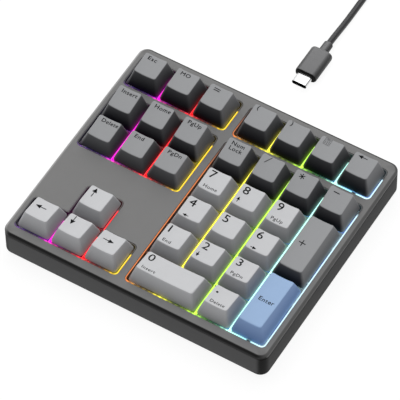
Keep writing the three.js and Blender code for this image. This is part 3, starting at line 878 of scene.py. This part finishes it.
def makeTray():
    seam, foot, wall, floor = case["seam"], case["foot"], case["wall"], case["floor"]
    fillet, chamfer = case["footFillet"], case["chamfer"]
    outside = [caseRing(fillet * (1 - np.cos(a)), foot + fillet * (1 - np.sin(a)))
               for a in np.radians(np.linspace(90, 0, 6))]
    outside += [caseRing(0, seam - chamfer), caseRing(chamfer, seam)]
    inside = [caseRing(wall - chamfer, seam), caseRing(wall, seam - chamfer), caseRing(wall, floor + 0.4),
              caseRing(wall + 0.4, floor)]
    tray = makePiece("tray", [(skin(outside + inside), "caseTray")], replaces=("bottom_case",))
    *portSize, portZ = case["port"]
    port = roundedRing(roundedBase(6), *portSize, 0)
    back = caseHalf[1]
    cutters = [skin([np.c_[port[:, 0], np.full(len(port), y), port[:, 1] + portZ]
                     for y in (back + 1, back - wall - 1)])]
    cutters += [lathe([(6.3, 1), (6.3, foot + 0.6)], spot, 40) for spot in middles("foot_")]
    cutters += [lathe([(2.4, 1), (2.4, foot + 1.1), (1.4, foot + 1.1), (1.4, floor + 1)], spot, 24)
                for spot in middles("screw_")]
    cutAway(tray, cutters)


makeTopFrame()
makeFrameInside()
makeTray()
print("case made")

# light guides
guide = {
    "thick": 0.6,
    "clear": 0.04,
    "edge": 0.06,
    "low": 12.5,
    "high": 17.58,
    "rib": 0.5,
    "ribLow": 14.2,
    "ribEdge": 0.08,
    "unlit": 5.4,           # the length by the window's back edge that stays dark
    "dark": 0.012,
    "rowBright": 0.12,      # between the rows
    "sideBright": 0.75,     # along a window's left and right
    "dash": (3.1, 0.8),     # the front edge's dashes: length of a pair, and the sine's start
    "gapAt": (11.4, 1.2),   # the dark gap before the enter key: from its left edge, and half length
}


def frontBright(points):
    # bright by the columns' gaps and dim at the middle of each key, broken into short dashes
    x = points[..., 0]
    edges = [columnEdge(column) for column in range(8)] + [columnEdge(3) - case["blockGap"]]
    away = np.abs(x[..., None] - np.array(edges)).min(-1)
    near = np.clip(1.25 - away / 5, 0, 1)
    every, start = guide["dash"]
    dash = 0.5 + 0.5 * np.sign(np.sin(x * 2 * np.pi / every + start))
    enter = np.clip((x - columnEdge(6)) * 2, 0, 1)
    gap = np.abs(x - columnEdge(6) - guide["gapAt"][0]) < guide["gapAt"][1]
    dashed = near * (0.4 + 0.4 * dash) + 0.04 + 0.1 * dash
    return enter * np.where(gap, guide["dark"], 1) + (1 - enter) * dashed


def edgeGuide(window, x0, x1, y0, y1):
    # a thin wall that lines a window, with its own brightness on each side: the left is dark round the
    # left block and lit along its outer edge round the right one, and both sides are dark near the back
    thick, clear, edge, low, high = (guide[key] for key in ("thick", "clear", "edge", "low", "high"))
    base = roundedBase(6, 96)
    half, middle = ((x1 - x0) / 2, (y1 - y0) / 2), ((x0 + x1) / 2, (y0 + y1) / 2)
    levels = ((clear, low), (clear, high - 0.05), (clear + edge, high), (clear + thick - edge, high),
              (clear + thick, high - 0.05), (clear + thick, low))
    corner = case["windowCorner"]
    rings = np.array([roundedRing(base, half[0] - i, half[1] - i, corner - i, z, middle) for i, z in levels])
    # where the arrow keys' two windows meet, the walls stay below the pressed keys
    x, y, meet = rings[..., 0], rings[..., 1], rowEdge(5)
    if window == windows[2]:
        meeting = y < meet + 0.3
    else:
        meeting = (window == windows[3]) & (y > meet) & (x > columnEdge(1) - 1.4) & (x < columnEdge(2) + 0.8)
    rings[..., 2] -= np.where(meeting, (rings[..., 2] - low) * 0.9, 0)
    behind = y1 - y
    across, along = base[1].T
    isLeft, isRight, isFront = (np.clip(way, 0, 1) ** 2 for way in (-across, across, -along))
    outerEdge = np.array([1, 1, 1, 0.5, 0, 0])[:, None]
    left = np.clip((behind - 6) / 16, 0, 1) * outerEdge if window[0] == 3 else 0.0
    right = np.clip((behind - guide["unlit"]) / 1.2, 0, 1) ** 2
    sides = (isLeft * left + isRight * right) * guide["sideBright"]
    bright = guide["dark"] + sides + isFront * frontBright(rings)
    order = [5, 4, 3, 2, 1, 0, 5]
    return skin(rings[order], ends=(False, False), bright=np.clip(bright, 0, 1)[order])


def makeGuides():
    parts = []
    rib, low, high, unlit = guide["rib"] / 2, guide["ribLow"], guide["high"] - 0.1, guide["unlit"]
    edge = guide["ribEdge"]
    for window, (x0, x1, y0, y1) in zip(windows, windowSpots()):
        column, row, wide, deep = window
        parts.append(edgeGuide(window, x0, x1, y0, y1))
        for c in range(column + 1, column + wide):
            x, front = columnEdge(c), y0 + (pitch if row == 1 and c == 4 else 0)      # the wide zero key
            for begin, end, bright in ((y1 - unlit, y1 - 0.5, guide["dark"]),
                                       (front + 0.5, y1 - unlit - 0.02, 1.0)):
                parts.append(slab(x - rib, x + rib, begin, end, low, high, edge, bright=bright))
        for r in range(row + 1, row + deep):
            tall = pitch if window == windows[5] and r in (3, 5) else 0                # the tall keys
            y = rowEdge(r)
            parts.append(slab(x0 + 1, x1 - 1 - tall, y - rib, y + rib, low, high - 0.1, edge,
                              bright=guide["rowBright"]))
    makePiece("light_guides", [(part, "guide") for part in parts])


makeGuides()
print("light guides made")

# switches, plate and board
switch = {
    # up the outside, through the plate, over a flange, and down into the square mouth: half width,
    # half depth, corner and height
    "rings": [(6.4, 6.4, 0.8, 6.4), (6.95, 6.95, 0.8, 7.4), (6.95, 6.95, 0.8, 11.1), (7.8, 7.8, 0.5, 11.11),
              (7.8, 7.8, 0.5, 12.0), (7.1, 7.1, 0.8, 12.15), (6.9, 6.7, 0.8, 13.7), (4.75, 4.45, 0.8, 17.15),
              (4.5, 4.2, 0.6, 17.5), (3.5, 3.1, 0.4, 17.5), (3.5, 3.1, 0.4, 9.8)],
    "wing": (0.5, 2.4, 11.4, 13.9, 0.25),
    "wingAt": 6.6,
    "pin": [(0.3, 3.0), (0.42, 3.4), (0.42, 6.9)],
    "pinsAt": ((-3.8, 2.5), (2.5, 5.0)),
}
plateLook = {
    "inset": 0.5,           # clear of the tray's wall
    "levels": ((0.15, 9.6), (0, 9.75), (0, 10.95), (0.15, 11.1)),
    "hole": 7.0,
    "screwHole": 2.9,
}


def makeSwitches():
    parts, square = [], roundedBase(2)
    for middle in (cap.middle for cap in keyCaps):
        body = [roundedRing(square, *ring, middle) for ring in switch["rings"]]
        wings = [block(middle + [x, 0], *switch["wing"]) for x in (-switch["wingAt"], switch["wingAt"])]
        parts += [(part, "housing") for part in [skin(body), *wings]]
        parts += [(lathe(switch["pin"], middle + spot, 8), "brass") for spot in switch["pinsAt"]]
    makePiece("switch_housings", parts)
    inset, corner = case["wall"] + plateLook["inset"], case["corner"] - case["wall"]
    base, half = roundedBase(8, 8), plateLook["hole"]
    rings = [roundedRing(base, *(caseHalf - inset - edge), corner - edge, z)
             for edge, z in plateLook["levels"]]
    plate = makePiece("plate", [(skin(rings), "plate")], replaces=("switch_plate",))
    holes = [skin([roundedRing(square, half, half, 0.4, z, cap.middle) for z in (9, 12)]) for cap in keyCaps]
    holes += [lathe([(plateLook["screwHole"], z) for z in (9, 12)], spot, 20) for spot in middles("screw_")]
    cutAway(plate, holes)


def dress(finish, *names):
    for name in names:
        nodes[name].data.materials.clear()
        nodes[name].data.materials.append(materials[finish])


makeSwitches()
dress("board", "circuit_board")
dress("chip", "controller_chip")
dress("plated", "usb_port")
dress("steel", *[name for name in nodes if name.startswith("stabiliser_wire")])
print("switches made")

# screws and feet
# radius and height; a screw's are from its head's underside, and its thread goes between head and tip
screwLook = {
    "head": [(1.75, 0.02), (1.95, 0.12), (2, 0.4), (0.98, 1.3)],
    "thread": [(0.95 + 0.12 * (k % 2), 1.6 + k * 0.28) for k in range(26)],
    "tip": (0.2, 9),
    "slots": ((1.15, 0.22), (0.22, 1.15)),
}
footProfile = [(4.6, 0.25), (4.9, 0), (5.5, 0.02), (5.85, 0.25), (6, 0.6), (6, 2.3)]


def makeScrews():
    for name in sorted(nodes):
        low, high = nodeBox(name)
        middle = (low + high)[:2] / 2
        if name.startswith("screw_"):
            z = low[2]
            profile = [(radius, z + up) for radius, up in
                       [*screwLook["head"], *screwLook["thread"], screwLook["tip"]]]
            # the slots are thin dark plates on the head: painted shade in the recess
            arms = [block(middle, *half, z - 0.005, z + 0.03, 0.01) for half in screwLook["slots"]]
            parts = [(lathe(profile, middle, 24), "steel")] + [(arm, "mouth") for arm in arms]
            makePiece(name + "_turned", parts, replaces=(name,))
        elif name.startswith("foot_"):
            makePiece(name + "_pad", [(lathe(footProfile, middle, 48), "rubber")],
                      replaces=(name,))


makeScrews()
print("screws and feet made")

# plugs
plug = {"tip": 94.0, "shell": 6.6, "body": 17.0, "relief": 6.6, "z": 3.3}
farPlug = {
    "z": 4.0,
    "body": [(0, 4.4, 4.4, 2.1), (0.4, 5, 5, 2.4), (8, 7, 6.4, 2.9), (9.2, 15.0, 7.6, 2.2),
             (10.2, 15.7, 8, 2.2)],
    "grips": [13 + k * 2.6 for k in range(5)],
    "grip": [(0, 15.7, 8, 2), (0.35, 15.3, 7.6, 1.9), (1.05, 15.3, 7.6, 1.9), (1.4, 15.7, 8, 2)],
    "end": [(30, 15.7, 8, 2), (30.7, 15.2, 7.5, 1.8), (31, 14.2, 6.5, 1.5)],
    "shellAt": 31.1,
    "shell": 18.6,
    "contacts": (-3.5, -1, 1, 3.5),
    "holes": (-2.9, 2.9),
}


def alongY(sections, base, z, shift=0.0):
    # rounded rectangles (place, width, height, corner) stood across the y axis
    rings = []
    for y, wide, high, corner in sections:
        flat = roundedRing(base, wide / 2, high / 2, corner, 0)
        rings.append(np.c_[-flat[:, 0], np.full(len(flat), y + shift), flat[:, 1] + z])
    return np.array(rings)


def turnedToX(surface, x, y):
    # from lying along +y at the origin to lying along +x at a place
    points, faces, values = surface
    return np.c_[points[:, 1] + x, y - points[:, 0], points[:, 2]], faces, values


def withPaintedSideShade(surface, base):
    # painted shade: darker on the sides than on the broad faces, by the outward direction across the plug
    points, faces, values = surface
    across = np.abs(base[1][:, 0])
    tone = np.resize(0.5 - 0.42 * np.clip(across * 1.4 - 0.2, 0, 1), len(points))
    return points, faces, {**values, "tone": tone}


def makeNearPlug():
    base, z, tip, front = roundedBase(10, 2), plug["z"], plug["tip"], plug["tip"] + plug["shell"]
    end = front + plug["body"]
    stub = end + plug["relief"]
    shell = alongY([(tip + 0.15, 8.34, 2.56, 1.25), (front + 1, 8.3, 2.5, 1.2)], base, z)
    mouth = alongY([(5.6, 7.6, 1.85, 0.9), (0.3, 7.7, 1.92, 0.95), (0, 7.8, 2.02, 1.0), (0, 8.16, 2.38, 1.17),
                    (0.15, 8.34, 2.56, 1.25)], base, z, tip)
    tongue = alongY([(1.0, 6.3, 0.6, 0.25), (5.6, 6.3, 0.6, 0.25)], base, z, tip)
    parts = [(skin(shell, ends=(False, True)), "plated"), (skin(mouth, ends=(True, False)), "mouth"),
             (skin(tongue), "mouth")]
    makePiece("usb_c_tip", parts, replaces=("usb_c_shell",))
    body = alongY([(front, 11.3, 5.8, 2.6), (front + 0.15, 11.7, 6.2, 2.85), (front + 0.6, 12.1, 6.6, 3.0),
                   (end - 1.0, 12.1, 6.6, 3.0), (end - 0.3, 11.7, 6.2, 2.85), (end, 10.9, 5.5, 2.6),
                   (end, 5.4, 5.0, 2.45), (end + 0.1, 5.2, 4.8, 2.38), (stub - 0.4, 5.0, 4.6, 2.28),
                   (stub, 4.4, 4.0, 1.98)], base, z)
    collar = alongY([(-0.04, 8.5, 2.7, 1.3), (-0.04, 11.5, 6.0, 2.7), (0.1, 11.7, 6.2, 2.8)], base, z, front)
    makePiece("usb_c_body", [(withPaintedSideShade(skin(body), base), "plug"), (skin(collar), "mouth")],
              replaces=("usb_c_overmold",))


def makeFarPlug():
    low, high = nodeBox("usb_a_overmold")
    x, y, z, base = low[0], (low[1] + high[1]) / 2, farPlug["z"], roundedBase(10, 2)
    grips = [(at + start, *section) for at in farPlug["grips"] for start, *section in farPlug["grip"]]
    body = skin(alongY([*farPlug["body"], *grips, *farPlug["end"]], base, z))
    makePiece("usb_a_body", [(turnedToX(withPaintedSideShade(body, base), x, y), "plug")],
              replaces=("usb_a_overmold",))
    base, start, long = roundedBase(4, 2), farPlug["shellAt"], farPlug["shell"]
    tube = alongY([(0, 12, 4.5, 0.5), (long - 0.1, 12, 4.5, 0.5), (long, 11.9, 4.4, 0.45),
                   (long, 11.4, 3.9, 0.3), (4, 11.4, 3.9, 0.3)], base, z, start)
    tongue = alongY([(3, 10.6, 1.7, 0.2), (long - 0.9, 10.6, 1.7, 0.2)], base, z - 0.95, start)
    parts = [(skin(tube), "plated"), (skin(tongue), "mouth")]
    parts += [(slab(c - 0.5, c + 0.5, start + 8, start + long - 1.6, z - 0.12, z - 0.04, 0.02), "brass")
              for c in farPlug["contacts"]]
    # the shell's two holes are thin dark plates: painted shade in the openings
    parts += [(slab(c - 1.1, c + 1.1, start + 9, start + 11.2, z + 2.2, z + 2.27, 0.02), "mouth")
              for c in farPlug["holes"]]
    makePiece("usb_a_tip", [(turnedToX(part, x, y), finish) for part, finish in parts],
              replaces=("usb_a_shell",))


strapLook = {"halfHigh": 3.55, "middleZ": 3.6, "corner": 2.2, "innerCorner": 1.9, "gap": 0.15}


def makeStrap():
    # a flat strap round the bundle of turns at the coil's far left: its section is a rounded rectangle
    # drawn as a closed loop across the bundle; rings go back along the outside and forward inside
    middle, thick = cable["middle"], cable["thick"]
    inner = cable["reach"] - (cable["across"] - 0.5) * thick - strapLook["gap"]
    outer = cable["reach"] + 0.5 * thick + strapLook["gap"]
    loop, rings = roundedBase(6, 3), []
    for y, lift, corner, lowest in ((-4, 0.3, "corner", 0.02), (-3.8, 0.45, "corner", 0.02),
                                    (3.8, 0.45, "corner", 0.02), (4, 0.3, "corner", 0.02),
                                    (4, 0, "innerCorner", 0.01), (-4, 0, "innerCorner", 0.01)):
        high = strapLook["halfHigh"] + (lift or -0.03)
        ring = roundedRing(loop, (outer - inner) / 2 + lift, high, strapLook[corner], 0)
        rings.append(np.c_[middle[0] - (inner + outer) / 2 - ring[:, 0], np.full(len(ring), middle[1] + y),
                           np.clip(ring[:, 1] + strapLook["middleZ"], lowest, None)])
    surface = skin(rings + rings[:1], ends=(False, False))
    return makePiece("cable_strap", [(surface, "strap")])


makeNearPlug()
makeFarPlug()
strap = makeStrap()
print("plugs made")

# floor and light
studio = {"floor": 0.14, "floorGlow": 0.9, "world": 0.42}


def makeFloor():
    mesh = bpy.data.meshes.new("floor")
    mesh.from_pydata([(x * 4, y * 4, 0) for x, y in ((-1, -1), (1, -1), (1, 1), (-1, 1))], [], [(0, 1, 2, 3)])
    material = bpy.data.materials.new("floor")
    material.use_nodes = True
    shader = material.node_tree.nodes["Principled BSDF"]
    shader.inputs["Base Color"].default_value = (*[studio["floor"]] * 3, 1)
    shader.inputs["Roughness"].default_value = 0.9
    shader.inputs["Specular IOR Level"].default_value = 0.1
    shader.inputs["Emission Color"].default_value = (1, 1, 1, 1)
    shader.inputs["Emission Strength"].default_value = studio["floorGlow"]
    mesh.materials.append(material)
    floor = linked("floor", mesh)


def areaLight(name, place, target, size, power):
    lamp = bpy.data.lights.new(name, "AREA")
    lamp.shape, lamp.size, lamp.size_y, lamp.energy = "RECTANGLE", size[0], size[1], power
    holder = linked(name, lamp)
    holder.location = place
    holder.rotation_mode = "QUATERNION"
    holder.rotation_quaternion = (Vector(target) - Vector(place)).to_track_quat("-Z", "Y")


def makeLight():
    world = bpy.data.worlds.new("studio")
    scene.world = world
    world.use_nodes = True
    world.node_tree.nodes["Background"].inputs[0].default_value = (1, 1, 1, 1)
    world.node_tree.nodes["Background"].inputs[1].default_value = studio["world"]
    areaLight("overhead", (-0.25, 0.35, 1.3), (0, 0, 0), (1.6, 1.2), 11)
    areaLight("back", (-0.5, 1.3, 0.7), (0, 0, 0), (1.6, 0.7), 5)


makeFloor()
makeLight()
